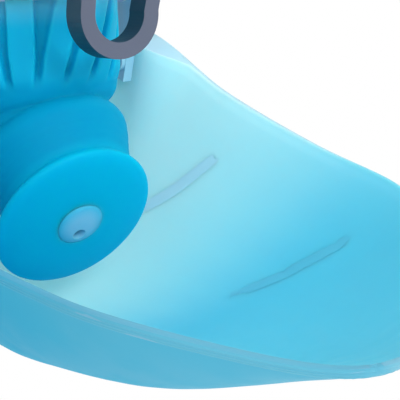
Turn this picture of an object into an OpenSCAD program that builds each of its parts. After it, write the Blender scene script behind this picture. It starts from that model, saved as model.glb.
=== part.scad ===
// Dog travel water bottle: a squeeze bottle with a bent silicone spout head
// and a leaf-shaped silicone bowl that folds down over the bottle.
// The bottle stands upright on its base. Origin: centre of the base. +Z up.
// The bowl opens towards +X; its hinge axis lies along Y.

/* [Bottle] */
// Outer radius of the bottle body
bottle_r = 32; // [30:0.5:34]
// Height from the base to the top of the neck
bottle_h = 160; // [150:1:180]
// Wall of the squeeze bottle
bottle_wall = 1.4; // [1:0.1:2]
// Number of grip flutes round the body
grip_count = 16; // [8:1:20]
// Outer radius of the neck
neck_r = 17; // [15:0.5:18]
// Length of the threaded neck
neck_h = 16; // [14:1:18]

/* [Collar] */
// Outer radius of the screw collar
collar_r = 27.5; // [26.5:0.5:28]
// Height of the collar's threaded barrel
collar_h = 17; // [15:0.5:18]
// Radius of the hinge screw's shank
hinge_pin_r = 2; // [1.6:0.1:2.2]
// Distance from the bottle's axis to the inner face of each hinge ear
ear_y = 29.5; // [29:0.25:31]
// Thickness of each hinge ear
ear_t = 2.5; // [2:0.1:3]

/* [Spout head] */
// Outer radius over the ribs of the skirt
skirt_r = 24.2; // [23:0.2:26]
// Height of the ribbed skirt
skirt_h = 28; // [26:1:30]
// Number of ribs round the skirt
rib_count = 17; // [10:1:18]
// Width of one rib
rib_w = 5.2; // [3:0.2:5.6]
// Lean of the ribs halfway round from where they run straight up
rib_lean = 36; // [0:1:38]
// Radius of the middle tier
tier_r = 21.4; // [20:0.2:23]
// Radius of the front tier
front_r = 21.6; // [20:0.2:23]
// Wall of the silicone head
head_wall = 3; // [2.5:0.25:4]
// Angle that the nozzle is turned away from the bottle's axis
spout_angle = 54; // [50:1:58]
// Bore of the water tube
tube_bore_r = 3.2; // [2.5:0.1:3.6]
// Outer radius of the water tube
tube_r = 4.8; // [4.4:0.1:5.4]
// Radius of the pale nozzle disc
nozzle_r = 6.4; // [6:0.1:8]
// Radius of the outlet hole
outlet_r = 1.5; // [1:0.1:2]

/* [Bowl] */
// Reach of the bowl from the hinge axis to its tip
bowl_reach = 177; // [165:0.5:185]
// Largest half width of the bowl
bowl_half_w = 66; // [62:0.5:70]
// Wall of the silicone bowl
bowl_wall = 2; // [1.6:0.1:2.4]
// Thickness of the bead round the rim
lip_t = 3.4; // [3:0.1:4.4]
// Height of the bead round the rim
lip_h = 4.4; // [3.6:0.2:5]
// Angle that the open bowl rises above the horizontal
bowl_tilt = 20; // [16:1:24]

/* [Carabiner] */
// Length of the carabiner
clip_len = 54.7; // [52:0.1:60]
// Width of the carabiner's bar, seen from the front
clip_bar = 4.3; // [4:0.1:5]
// Thickness of the carabiner
clip_t = 7.4; // [6:0.1:7.6]
// Outer radius of its large end
clip_big_r = 13.7; // [13.2:0.1:15]
// Outer radius of its small end
clip_small_r = 11.6; // [11:0.2:12.4]
// Angle that the carabiner leans away from the bottle
clip_lean = 2; // [0:1:12]
// Angle that it hangs to one side in its own plane
clip_roll = 8; // [4:1:10]
// Distance from the bottle's axis to the lug's hole
lug_x = 40.5; // [40:0.1:42]
// How far the lug sits to the side of the bowl's middle
lug_side = 9.3; // [8:0.1:10]

/* [Clearances] */
// Running gap round pins and screws
run_gap = 0.2; // [0.15:0.05:0.3]
// Gap between the neck and the collar's barrel
thread_gap = 0.5; // [0.4:0.05:0.8]
// Gap round fitted inserts
fit_gap = 0.1; // [0.05:0.05:0.15]

/* [Hidden] */
$fn = 64;
e = 0.01;
// hinge axis height: the collar's screws sit just above the neck
pin_z = bottle_h + 5;
collar_top = pin_z - 0.5;                      // the head's skirt stands on it
collar_z = collar_top - collar_h;       // lower face of the collar
plug_r = skirt_r - 1.6 - head_wall;           // collar's upper plug, inside the skirt
plug_h = 7;
gasket_t = 1.6;
roof_z = bottle_h + gasket_t;          // collar's inner roof
thread_r = neck_r + 1.2;
shoulder_h = 11;
shoulder_z = bottle_h - neck_h - shoulder_h;
base_round = 4;
grip_r = 2.4;
grip_z0 = 16;
grip_z1 = shoulder_z - 26;

// centreline of the spout, in the plane y = 0
front_x = 21.8;
front_z = pin_z + 58.7;
elbow_z = front_z - front_x / tan(spout_angle);
tier_x = 10.2;
tier_z = pin_z + 41.8;
tier_angle = 45;
tier_t = 10.4;
mid_x = 15.4;
mid_z = pin_z + 49.4;
mid_angle = 50;
mid_t = 14;
front_t = 5;
chamber_back = 6;
groove_x = 2.2;
groove_z = pin_z + 27;
groove_angle = 18;
groove_t = 12;
neck_x = 5.6;
neck_z = pin_z + 35;
neck_angle = 32;
neck_t = 12;
skirt_base_z = collar_top;
rib_rise = 1.4;                              // ribs stand this far off the skirt
skirt_body_r = skirt_r - rib_rise;
rib_h = skirt_h - 5;
rib_straight = 38;                           // direction in which a rib runs straight up
front_reach = front_x / sin(spout_angle);   // from the elbow to the front tier
nozzle_t = 4.6;
nozzle_proud = 1.4;
nozzle_back = nozzle_t - nozzle_proud;      // depth of the disc behind the front face
socket_wall = 2.4;
valve_t = 1.2;
retainer_t = 1.6;
socket_depth = nozzle_back + valve_t + retainer_t;
socket_h = socket_depth + 2;
valve_r = nozzle_r - 1.2;
outlet_drop = 2.6;                           // outlet lies below the disc's centre

// collar's hinge bosses
insert_r = hinge_pin_r + 0.8;
insert_len = 6;
boss_r = 5.4;
washer_t = 0.8;
boss_y = ear_y - washer_t;
screw_head_r = 4.6;
screw_head_t = 1.8;
ear_r = 8;
ear_drop = 26;
rivet_r = 1.8;
rivet_head_r = 3.4;
rivet_head_t = 1.1;
rivet_len = 7.6;
rivet_s = [-4.4, 4.4];
rivet_drop = 20.5;
pad_y = ear_y + ear_t;

// bowl's outer surface: one row every bowl_pitch along the bowl's length,
// each [half width, rim height, floor height] from the hinge axis
bowl_pitch = bowl_reach / 6;
bowl_rear = -50;
hinge_w = pad_y + 5.5;
bowl_rows = [
    [hinge_w - 7.5, -66, -78],
    [hinge_w - 3.5, -36, -82],
    [hinge_w, -14.6, -83],
    [hinge_w + 11, -21.3, -85.6],
    [bowl_half_w - 7.5, -23.8, -78.1],
    [bowl_half_w, -22.5, -67.3],
    [bowl_half_w - 4.4, -20.8, -58.5],
    [bowl_half_w - 6.8, -16.8, -46.8],
    [bowl_half_w - 24.6, -19.1, -34.6]
];
first_row = -2;
wall_power = 3;
tip_power = 6.2;

// carabiner, in its own plane: u across, v along, pivot at the origin
clip_pivot_in = clip_bar / 2;                 // pivot lies in the bar's middle
clip_v0 = -clip_pivot_in;
big_c = clip_v0 + clip_big_r;
small_c = clip_v0 + clip_len - clip_small_r;
spine_u = clip_big_r;                         // straight spine on the +Y side
small_u = spine_u - clip_small_r;
gate_pin_r = 0.9;
gate_slot = 0.35;
lug_z = pin_z - 37.5;
band_h = 9;
band_t = 2.2;
band_z = lug_z - band_h / 2;
lug_t = 4.4;
lug_hole_r = norm([clip_bar, clip_t]) / 2 + 0.4;   // the bar turns freely in it
lug_r = lug_hole_r + 1.8;

// ---------- shared shapes ----------

module ring(r_out, r_in, h) {
    difference() {
        cylinder(r = r_out, h = h);
        translate([0, 0, -1]) cylinder(r = r_in, h = h + 2);
    }
}

// disc with a full round edge, centred on its own middle plane
module round_disc(r, t) {
    rotate_extrude() {
        translate([0, -t / 2]) square([r - t / 2, t]);
        translate([r - t / 2, 0]) circle(r = t / 2);
    }
}

// places children at a point of the spout's plane, turned by an angle
module on_spout(x, z, angle) {
    translate([x, 0, z]) rotate([0, angle, 0]) children();
}

// frame of the nozzle: origin on the front face of the front tier, +Z outwards
module at_nozzle() {
    on_spout(front_x, front_z, spout_angle) children();
}

// frame of the bowl's hinge: +X along the bowl, +Z towards its open side
module at_hinge() {
    translate([0, 0, pin_z]) rotate([180, 0, 0]) rotate([0, bowl_tilt, 0]) children();
}

// ---------- bottle ----------

module bottle_profile(inset) {
    r = bottle_r - inset;
    n = neck_r - inset;
    b = base_round;
    z0 = inset;
    polygon([
        [0, z0], [r - b, z0],
        for (a = [15:15:75]) [r - b + b * sin(a), z0 + b - b * cos(a)],
        [r, z0 + b], [r, shoulder_z],
        for (a = [10:10:80]) [n + (r - n) * cos(a), shoulder_z + shoulder_h * sin(a)],
        [n, shoulder_z + shoulder_h], [n, bottle_h + inset], [0, bottle_h + inset]
    ]);
}

module bottle_body() {
    color("lightcyan", 0.6) difference() {
        union() {
            rotate_extrude() bottle_profile(0);
            for (z = [0:1]) translate([0, 0, bottle_h - neck_h + 6 + z * 4])
                rotate_extrude() polygon([
                    [neck_r - 1, -1.4], [neck_r, -1.4], [thread_r, -0.4],
                    [thread_r, 0.4], [neck_r, 1.4], [neck_r - 1, 1.4]
                ]);
        }
        rotate_extrude() bottle_profile(bottle_wall);
        for (i = [0:grip_count - 1]) rotate([0, 0, (i + 0.5) * 360 / grip_count])
            translate([bottle_r + grip_r - 0.7, 0, grip_z0])
                cylinder(r = grip_r, h = grip_z1 - grip_z0, $fn = 32);
    }
}

module neck_gasket() {
    color("white") translate([0, 0, bottle_h])
        ring(neck_r + 0.2, neck_r - bottle_wall - 1.2, gasket_t);
}

// ---------- collar and water path ----------

module boss(side) {
    translate([0, side * boss_y, pin_z]) rotate([side * 90, 0, 0])
        cylinder(r = boss_r, h = boss_y - plug_r + 2);
}

module screw_collar() {
    color("lavender") difference() {
        union() {
            translate([0, 0, collar_z]) cylinder(r = collar_r, h = collar_h);
            translate([0, 0, collar_top - e]) cylinder(r = plug_r, h = plug_h + e);
            boss(1);
            boss(-1);
        }
        translate([0, 0, collar_z - 1]) cylinder(r = thread_r + thread_gap, h = roof_z - collar_z + 1);
        translate([0, 0, roof_z - 1]) cylinder(r = tube_r + fit_gap, h = 60);
        // weight-saving hollow in the plug
        translate([0, 0, roof_z + 3]) ring(plug_r - 2.4, tube_r + 2.4, 40);
        for (side = [-1, 1]) translate([0, side * (boss_y + 1), pin_z]) rotate([side * 90, 0, 0])
            cylinder(r = insert_r + fit_gap, h = insert_len + 1);
    }
}

module insert(side) {
    translate([0, side * boss_y, pin_z]) rotate([side * 90, 0, 0])
        ring(insert_r, hinge_pin_r + fit_gap, insert_len);
}

module insert_left() { color("goldenrod") insert(1); }
module insert_right() { color("goldenrod") insert(-1); }

// upright leg and slightly slimmer slanting leg of the water path, mitred at the elbow
module tube_path(r, z0, reach) {
    miter = r * tan(spout_angle / 2);
    translate([0, 0, z0]) cylinder(r = r, h = elbow_z + miter - z0);
    on_spout(0, elbow_z, spout_angle) translate([0, 0, -miter])
        cylinder(r = r - leg_step, h = reach + miter);
}

tube_end = front_reach - socket_depth;
tube_flange_t = 1.2;
leg_step = 0.2;

module water_tube() {
    color("whitesmoke") difference() {
        union() {
            tube_path(tube_r, roof_z - tube_flange_t / 2, tube_end);
            translate([0, 0, roof_z - tube_flange_t]) cylinder(r = tube_r + 2, h = tube_flange_t);
        }
        tube_path(tube_bore_r, roof_z - 4, tube_end + 1);
    }
}

// ---------- spout head ----------

// outer form of the head
module head_form() {
    translate([0, 0, skirt_base_z]) cylinder(r = skirt_body_r, h = skirt_h);
    on_spout(groove_x, groove_z, groove_angle) round_disc(skirt_body_r - 0.4, groove_t);
    on_spout(neck_x, neck_z, neck_angle) round_disc(tier_r - 1.2, neck_t);
    on_spout(tier_x, tier_z, tier_angle) round_disc(tier_r, tier_t);
    on_spout(mid_x, mid_z, mid_angle) round_disc(tier_r - 0.8, mid_t);
    at_nozzle() translate([0, 0, -front_t / 2]) round_disc(front_r, front_t);
}

// hollow inside the head, one plain chamber behind each step
module head_hollow() {
    translate([0, 0, skirt_base_z + plug_h - e])
        cylinder(r = skirt_body_r - head_wall - 0.5, h = skirt_h - plug_h - 3);
    on_spout(groove_x, groove_z, groove_angle)
        translate([0, 0, -4]) cylinder(r = skirt_body_r - head_wall - 3, h = 8);
    on_spout(tier_x, tier_z, tier_angle)
        translate([0, 0, -tier_t / 2 - 5]) cylinder(r = tier_r - head_wall - 3, h = tier_t + 4);
    at_nozzle() translate([0, 0, -front_t - chamber_back])
        cylinder(r = tier_r - head_wall - 4, h = front_t + chamber_back - head_wall);
}

// ribs that fan together towards the front tier and apart towards the bottle
module skirt_ribs() {
    intersection() {
        translate([0, 0, skirt_base_z]) cylinder(r = skirt_r, h = rib_h);
        for (i = [0:rib_count - 1]) let (turn = i * 360 / rib_count)
            rotate([0, 0, rib_straight + turn])
                translate([skirt_body_r, 0, skirt_base_z + rib_h / 2])
                    rotate([atan(tan(rib_lean) * sin(turn)), 0, 0])
                        cube([2 * rib_rise + 2, rib_w, 2 * rib_h], center = true);
    }
}

module spout_head() {
    color("deepskyblue") difference() {
        union() {
            head_form();
            skirt_ribs();
        }
        translate([0, 0, skirt_base_z - 1]) cylinder(r = plug_r, h = plug_h + 1);
        // notches over the collar's hinge bosses
        translate([0, -skirt_r - 1, pin_z]) rotate([-90, 0, 0])
            cylinder(r = boss_r + fit_gap, h = 2 * skirt_r + 2);
        // hollow inside, with a solid socket left round the nozzle
        difference() {
            head_hollow();
            at_nozzle() translate([0, 0, -socket_h]) cylinder(r = nozzle_r + socket_wall, h = socket_h + 20);
        }
        tube_path(tube_r + fit_gap, skirt_base_z, front_reach - socket_depth / 2);
        at_nozzle() translate([0, 0, -socket_depth]) cylinder(r = nozzle_r + fit_gap, h = 60);
    }
}

module nozzle_disc() {
    color("powderblue") at_nozzle() difference() {
        union() {
            translate([0, 0, nozzle_proud - nozzle_t]) cylinder(r = nozzle_r, h = nozzle_t - 0.8);
            translate([0, 0, nozzle_proud - 0.8 - e]) cylinder(r = nozzle_r - 0.6, h = 0.8 + e);
        }
        translate([-outlet_drop, 0, -20]) cylinder(r = outlet_r, h = 40);
        translate([0, 0, nozzle_proud - nozzle_t - 1]) cylinder(r = valve_r - 0.6, h = 2);
    }
}

module slit_valve() {
    color("white") at_nozzle() translate([0, 0, nozzle_proud - nozzle_t - valve_t]) difference() {
        cylinder(r = nozzle_r - 0.4, h = valve_t);
        for (a = [0, 90]) rotate([0, 0, a]) translate([-2, -0.15, -1]) cube([4, 0.3, valve_t + 2]);
    }
}

module valve_retainer() {
    color("gainsboro") at_nozzle()
        translate([0, 0, nozzle_proud - nozzle_t - valve_t - retainer_t])
            ring(nozzle_r, tube_bore_r, retainer_t);
}

// ---------- leaf bowl ----------

// smooth curve through evenly spaced values; t counts in rows
function blend4(a, b, c, d, t) =
    b + 0.5 * t * (c - a + t * (2 * a - 5 * b + 4 * c - d + t * (3 * (b - c) + d - a)));
function row_at(i) = bowl_rows[max(0, min(len(bowl_rows) - 1, i))];
function row_value(s, k) =
    let (t = s / bowl_pitch - first_row, i = max(0, min(len(bowl_rows) - 2, floor(t))))
    blend4(row_at(i - 1)[k], row_at(i)[k], row_at(i + 1)[k], row_at(i + 2)[k], t - i);

// both ends close in a round nose
function nose(s, p) = sqrt(max(0, 1 - pow(abs(s) / (s > 0 ? bowl_reach : -bowl_rear), p)));
function half_w(s) = row_value(s, 0) * nose(s, s > 0 ? tip_power : 6);
function rim_h(s) = row_value(s, 1);
function floor_h(s) = rim_h(s) + (row_value(s, 2) - rim_h(s)) * nose(s, 4);
function bowl_point(s, v) =
    [s, half_w(s) * v, floor_h(s) + (rim_h(s) - floor_h(s)) * pow(abs(v), wall_power)];

// unit normal of the bowl's outer surface, pointing into the bowl
function unit(a) = a / max(norm(a), 1e-6);
function bowl_normal(s, v) =
    let (ds = 0.5, dv = 0.01,
         a = bowl_point(min(s + ds, bowl_reach - 0.05), v) - bowl_point(max(s - ds, bowl_rear + 0.05), v),
         b = bowl_point(s, min(v + dv, 1)) - bowl_point(s, max(v - dv, -1)))
    unit(cross(a, b));

bowl_n = 52;
side_n = 22;
end_gap = 0.2;
pad_s = 15;
function station(i) = bowl_rear + end_gap
    + (bowl_reach - bowl_rear - 2 * end_gap) * (1 - cos(180 * i / bowl_n)) / 2;
// places across the bowl, crowded towards both rims
function across(j) = let (x = 2 * j / side_n - 1) sign(x) * (1 - pow(1 - abs(x), 2.2));

// the bead round the rim is a thicker band of the wall, lip_h deep
function lip_extra(s, p) = (lip_t - bowl_wall) * max(0, min(1, (lip_h - rim_h(s) + p[2]) / 0.8 + 0.5));
function outer_point(s, v) = let (p = bowl_point(s, v)) p - lip_extra(s, p) * bowl_normal(s, v);
// inner surface, with a flat pad on each side where the hinge ears are riveted
function flat_pad(p) = abs(p[0]) < pad_s && p[2] > -ear_drop - 9 && abs(p[1]) > pad_y
    ? [p[0], sign(p[1]) * pad_y, p[2]] : p;
function inner_point(s, v) = flat_pad(bowl_point(s, v) + bowl_wall * bowl_normal(s, v));

bowl_pts = [for (layer = [0, 1]) for (i = [0:bowl_n]) for (j = [0:side_n])
    layer == 0 ? outer_point(station(i), across(j)) : inner_point(station(i), across(j))];
layer_size = (bowl_n + 1) * (side_n + 1);
function at(layer, i, j) = layer * layer_size + i * (side_n + 1) + j;
// two triangles that fill a four-sided patch
function patch(a, b, c, d) = [[a, c, b], [a, d, c]];

module bowl_shell() {
    polyhedron(points = bowl_pts, faces = [
        for (i = [0:bowl_n - 1]) for (j = [0:side_n - 1]) each concat(
            patch(at(0, i, j), at(0, i, j + 1), at(0, i + 1, j + 1), at(0, i + 1, j)),
            patch(at(1, i, j), at(1, i + 1, j), at(1, i + 1, j + 1), at(1, i, j + 1))),
        for (i = [0:bowl_n - 1]) each concat(
            patch(at(0, i, 0), at(0, i + 1, 0), at(1, i + 1, 0), at(1, i, 0)),
            patch(at(0, i, side_n), at(1, i, side_n), at(1, i + 1, side_n), at(0, i + 1, side_n))),
        for (j = [0:side_n - 1]) each concat(
            patch(at(0, 0, j), at(1, 0, j), at(1, 0, j + 1), at(0, 0, j + 1)),
            patch(at(0, bowl_n, j), at(0, bowl_n, j + 1), at(1, bowl_n, j + 1), at(1, bowl_n, j)))
    ]);
}

module leaf_bowl() {
    color("skyblue", 0.7) at_hinge() difference() {
        bowl_shell();
        for (side = [-1, 1]) for (s = rivet_s)
            translate([s, side * (ear_y + 1), -rivet_drop]) rotate([-side * 90, 0, 0])
                cylinder(r = rivet_r, h = 12);
    }
}

module ear(side) {
    at_hinge() difference() {
        union() {
            translate([0, side * ear_y, 0]) rotate([-side * 90, 0, 0]) cylinder(r = ear_r, h = ear_t);
            translate([-ear_r, side > 0 ? ear_y : -pad_y, -ear_drop])
                cube([2 * ear_r, ear_t, ear_drop]);
        }
        translate([0, side * (ear_y - 1), 0]) rotate([-side * 90, 0, 0])
            cylinder(r = hinge_pin_r + run_gap, h = ear_t + 2);
        for (s = rivet_s) translate([s, side * (ear_y - 1), -rivet_drop]) rotate([-side * 90, 0, 0])
            cylinder(r = rivet_r, h = ear_t + 2);
    }
}

module ear_left() { color("lightsteelblue") ear(-1); }
module ear_right() { color("lightsteelblue") ear(1); }

module rivets(side) {
    at_hinge() for (s = rivet_s) translate([s, side * ear_y, -rivet_drop]) rotate([-side * 90, 0, 0]) {
        translate([0, 0, -rivet_head_t]) cylinder(r = rivet_head_r, h = rivet_head_t);
        cylinder(r = rivet_r, h = rivet_len);
    }
}

module rivets_left() { color("silver") rivets(-1); }
module rivets_right() { color("silver") rivets(1); }

module washer(side) {
    translate([0, side * boss_y, pin_z]) rotate([-side * 90, 0, 0])
        ring(boss_r, hinge_pin_r + run_gap, washer_t);
}

module washer_left() { color("white") washer(1); }
module washer_right() { color("white") washer(-1); }

module hinge_screw(side) {
    translate([0, side * boss_y, pin_z]) rotate([-side * 90, 0, 0]) difference() {
        union() {
            translate([0, 0, -insert_len + 0.5]) cylinder(r = hinge_pin_r, h = insert_len + washer_t + ear_t);
            translate([0, 0, washer_t + ear_t + run_gap / 2])
                cylinder(r = screw_head_r, h = screw_head_t);
        }
        translate([-3, -0.5, washer_t + ear_t + screw_head_t - 0.6]) cube([6, 1, 2]);
        translate([-0.5, -3, washer_t + ear_t + screw_head_t - 0.6]) cube([1, 6, 2]);
    }
}

module hinge_screw_left() { color("silver") hinge_screw(1); }
module hinge_screw_right() { color("silver") hinge_screw(-1); }

// ---------- carry band and carabiner ----------

module carry_band() {
    color("slategray") difference() {
        union() {
            translate([0, 0, band_z]) cylinder(r = bottle_r + band_t, h = band_h);
            translate([0, -lug_side - lug_t / 2, band_z])
                cube([lug_x, lug_t, band_h]);
            translate([lug_x, lug_t / 2 - lug_side, lug_z]) rotate([90, 0, 0])
                cylinder(r = lug_r, h = lug_t);
            translate([-bottle_r - 6, -4, band_z]) cube([8, 8, band_h]);
        }
        translate([0, 0, band_z - 1]) cylinder(r = bottle_r + fit_gap, h = band_h + 2);
        translate([lug_x, lug_t - lug_side, lug_z]) rotate([90, 0, 0])
            cylinder(r = lug_hole_r, h = 2 * lug_t);
        translate([-bottle_r - 8, -0.6, band_z - 1]) cube([10, 1.2, band_h + 2]);
        translate([-bottle_r - 4, 5, lug_z]) rotate([90, 0, 0]) cylinder(r = 1, h = 10);
    }
}

module band_screw() {
    color("silver") translate([-bottle_r - 4, 4, lug_z]) rotate([90, 0, 0]) {
        cylinder(r = 1, h = 8);
        translate([0, 0, -1.2]) difference() {
            cylinder(r = 1.9, h = 1.2);
            translate([-3, -0.3, -1]) cube([6, 0.6, 1.5]);
        }
    }
}

// outline of the carabiner's pear shape: straight spine, two round ends
function arc_pts(c, r, a0, a1, n) = [for (i = [0:n]) c + r * [cos(a0 + (a1 - a0) * i / n), sin(a0 + (a1 - a0) * i / n)]];
// the slanting side is the line tangent to both round ends
function flare_angle(rb, rs) = let (d = [small_u, small_c - big_c])
    -(asin((rb - rs) / norm(d)) + atan2(d[0], d[1]));
function pear(rb, rs) = let (f = -flare_angle(rb, rs)) concat(
    arc_pts([0, big_c], rb, 180 + f, 360, 28),
    arc_pts([small_u, small_c], rs, 0, 180 + f, 28));

// the carabiner's plane: x across (towards +Y of the bottle), y along
module at_clip() {
    translate([lug_x, -lug_side, lug_z]) rotate([0, clip_lean, 0]) rotate([90, 0, 90])
        rotate([0, 0, -clip_roll]) children();
}

clip_tilt = flare_angle(clip_big_r, clip_small_r);
gate_c0 = [-clip_big_r * cos(clip_tilt), big_c - clip_big_r * sin(clip_tilt)];

// frame along the slanting side: origin where it meets the big end, +Y along it
module at_gate() {
    translate([gate_c0[0], gate_c0[1], 0]) rotate([0, 0, clip_tilt]) children();
}

gate_len = norm([small_u, small_c - big_c]) * cos(asin((clip_big_r - clip_small_r) / norm([small_u, small_c - big_c])));
gate_start = 3;
gate_end = gate_len - 9;
hinge_y = gate_end - clip_bar / 2;

module carabiner_frame() {
    color("slategray") at_clip() difference() {
        translate([0, 0, -clip_t / 2]) linear_extrude(clip_t) difference() {
            polygon(pear(clip_big_r, clip_small_r));
            polygon(pear(clip_big_r - clip_bar, clip_small_r - clip_bar));
        }
        // the gate's opening in the slanting side, with a tongue left at its hinge
        at_gate() difference() {
            translate([-2, gate_start, -clip_t]) cube([clip_bar + 4, gate_end - gate_start, 2 * clip_t]);
            translate([-3, hinge_y - clip_bar / 2 + 0.6, -clip_t / 6]) cube([clip_bar + 6, clip_bar + 4, clip_t / 3]);
        }
        at_gate() translate([clip_bar / 2, hinge_y, -clip_t]) cylinder(r = gate_pin_r + run_gap / 2, h = 2 * clip_t);
    }
}

module carabiner_gate() {
    color("slategray") at_clip() at_gate() difference() {
        union() {
            translate([0, gate_start + gate_slot, -clip_t / 2])
                cube([clip_bar, hinge_y - gate_start - gate_slot, clip_t]);
            translate([clip_bar / 2, hinge_y, -clip_t / 2])
                cylinder(r = clip_bar / 2 - 0.3, h = clip_t);
        }
        translate([-1, hinge_y - clip_bar / 2 - 3.2, -clip_t / 6 - run_gap])
            cube([clip_bar + 2, clip_bar + 6, clip_t / 3 + 2 * run_gap]);
        translate([clip_bar / 2, hinge_y, -clip_t]) cylinder(r = gate_pin_r + run_gap / 2, h = 2 * clip_t);
    }
}

module gate_pin() {
    color("silver") at_clip() at_gate() translate([clip_bar / 2, hinge_y, -clip_t / 2 + 0.1])
        cylinder(r = gate_pin_r, h = clip_t - 0.2);
}

module gate_spring() {
    color("gray") at_clip() at_gate()
        translate([clip_bar / 2 - 0.3, hinge_y - clip_bar / 2 - 2.6, -clip_t / 6 + 0.2])
            cube([0.6, 3.2, clip_t / 3 - 0.4]);
}

bottle_body();
neck_gasket();
screw_collar();
insert_left();
insert_right();
water_tube();
spout_head();
nozzle_disc();
slit_valve();
valve_retainer();
leaf_bowl();
ear_left();
ear_right();
rivets_left();
rivets_right();
washer_left();
washer_right();
hinge_screw_left();
hinge_screw_right();
carry_band();
band_screw();
carabiner_frame();
carabiner_gate();
gate_pin();
gate_spring();
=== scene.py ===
"""Dog travel water bottle: silicone spout head and leaf bowl over a squeeze bottle, with a carabiner."""
import math

import bmesh
import bpy
from mathutils import Matrix, Vector
from mathutils.bvhtree import BVHTree


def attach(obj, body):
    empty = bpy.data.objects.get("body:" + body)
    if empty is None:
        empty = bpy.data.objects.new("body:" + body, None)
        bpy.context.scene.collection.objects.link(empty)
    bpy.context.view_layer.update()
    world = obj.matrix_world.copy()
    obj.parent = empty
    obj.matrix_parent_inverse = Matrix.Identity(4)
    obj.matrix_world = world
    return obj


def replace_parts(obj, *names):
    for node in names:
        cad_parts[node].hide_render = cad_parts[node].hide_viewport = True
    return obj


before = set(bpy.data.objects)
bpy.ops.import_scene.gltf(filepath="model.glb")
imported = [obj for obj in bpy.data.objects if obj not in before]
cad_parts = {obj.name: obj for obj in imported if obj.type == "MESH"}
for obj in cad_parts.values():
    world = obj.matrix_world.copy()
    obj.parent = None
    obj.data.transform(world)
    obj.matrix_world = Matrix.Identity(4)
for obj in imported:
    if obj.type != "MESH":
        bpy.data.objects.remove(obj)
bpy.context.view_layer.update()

MM = 0.001
PIN_Z = 165.0                       # hinge axis above the base


def srgb(r, g, b):
    """Display colour 0-255 to a linear RGBA value."""
    def lin(c):
        c /= 255
        return c / 12.92 if c <= 0.04045 else ((c + 0.055) / 1.055) ** 2.4
    return (lin(r), lin(g), lin(b), 1.0)


def smooth(lo, hi, x):
    t = min(1.0, max(0.0, (x - lo) / (hi - lo)))
    return t * t * (3 - 2 * t)


def mix(a, b, t):
    return a + (b - a) * t


# ---------- node groups ----------

def new_group(name, inputs, outputs):
    group = bpy.data.node_groups.new(name, "ShaderNodeTree")
    for sock, kind, default in inputs:
        item = group.interface.new_socket(name=sock, in_out="INPUT", socket_type=kind)
        item.default_value = default
    for sock, kind in outputs:
        group.interface.new_socket(name=sock, in_out="OUTPUT", socket_type=kind)
    start = group.nodes.new("NodeGroupInput")
    end = group.nodes.new("NodeGroupOutput")
    return group, start, end


def noise_node(tree, coords, scale, detail, rough):
    node = tree.nodes.new("ShaderNodeTexNoise")
    node.inputs["Detail"].default_value = detail
    node.inputs["Roughness"].default_value = rough
    tree.links.new(coords, node.inputs["Vector"])
    if isinstance(scale, (int, float)):
        node.inputs["Scale"].default_value = scale
    else:
        tree.links.new(scale, node.inputs["Scale"])
    return node


def remap(tree, value, lo, hi, out_lo, out_hi):
    node = tree.nodes.new("ShaderNodeMapRange")
    node.interpolation_type = "SMOOTHSTEP"
    tree.links.new(value, node.inputs["Value"])
    for sock, x in (("From Min", lo), ("From Max", hi), ("To Min", out_lo), ("To Max", out_hi)):
        if isinstance(x, (int, float)):
            node.inputs[sock].default_value = x
        else:
            tree.links.new(x, node.inputs[sock])
    return node.outputs["Result"]


def colour_mix(tree, mask, a, b, mode="MIX"):
    node = tree.nodes.new("ShaderNodeMix")
    node.data_type = "RGBA"
    node.blend_type = mode
    for sock, x in ((node.inputs[0], mask), (node.inputs[6], a), (node.inputs[7], b)):
        if isinstance(x, (int, float, tuple)):
            sock.default_value = x
        else:
            tree.links.new(x, sock)
    return node.outputs[2]


def maths(tree, op, a, b=None):
    node = tree.nodes.new("ShaderNodeMath")
    node.operation = op
    for sock, x in ((node.inputs[0], a), (node.inputs[1], b)):
        if x is None:
            continue
        if isinstance(x, (int, float)):
            sock.default_value = x
        else:
            tree.links.new(x, sock)
    return node.outputs[0]


def make_cloudy():
    """Slow drift between two tints of one moulded colour."""
    group, start, end = new_group("cloudy_tint", [
        ("Light Tint", "NodeSocketColor", (1, 1, 1, 1)), ("Deep Tint", "NodeSocketColor", (0, 0, 0, 1)),
        ("Scale", "NodeSocketFloat", 30.0), ("Drift", "NodeSocketFloat", 0.5)],
        [("Color", "NodeSocketColor"), ("Mask", "NodeSocketFloat")])
    coords = group.nodes.new("ShaderNodeTexCoord").outputs["Object"]
    noise = noise_node(group, coords, start.outputs["Scale"], 4.0, 0.55)
    mask = remap(group, noise.outputs["Fac"], 0.3, 0.7, 0.0, start.outputs["Drift"])
    group.links.new(colour_mix(group, mask, start.outputs["Light Tint"], start.outputs["Deep Tint"]),
                    end.inputs["Color"])
    group.links.new(mask, end.inputs["Mask"])
    return group


def make_mould_grain():
    """Fine matt grain of a mould, as height and roughness, with a few smoother patches."""
    group, start, end = new_group("mould_grain", [
        ("Grain Scale", "NodeSocketFloat", 2500.0), ("Smooth Roughness", "NodeSocketFloat", 0.3),
        ("Rough Roughness", "NodeSocketFloat", 0.5)],
        [("Height", "NodeSocketFloat"), ("Roughness", "NodeSocketFloat")])
    coords = group.nodes.new("ShaderNodeTexCoord").outputs["Object"]
    grain = noise_node(group, coords, start.outputs["Grain Scale"], 3.0, 0.6)
    patches = noise_node(group, coords, 60.0, 3.0, 0.5)
    wide = maths(group, "MULTIPLY", patches.outputs["Fac"], 0.3)
    height = maths(group, "ADD", maths(group, "MULTIPLY", grain.outputs["Fac"], 0.6), wide)
    group.links.new(height, end.inputs["Height"])
    rough = remap(group, patches.outputs["Fac"], 0.35, 0.65, start.outputs["Smooth Roughness"],
                  start.outputs["Rough Roughness"])
    group.links.new(rough, end.inputs["Roughness"])
    return group


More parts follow.
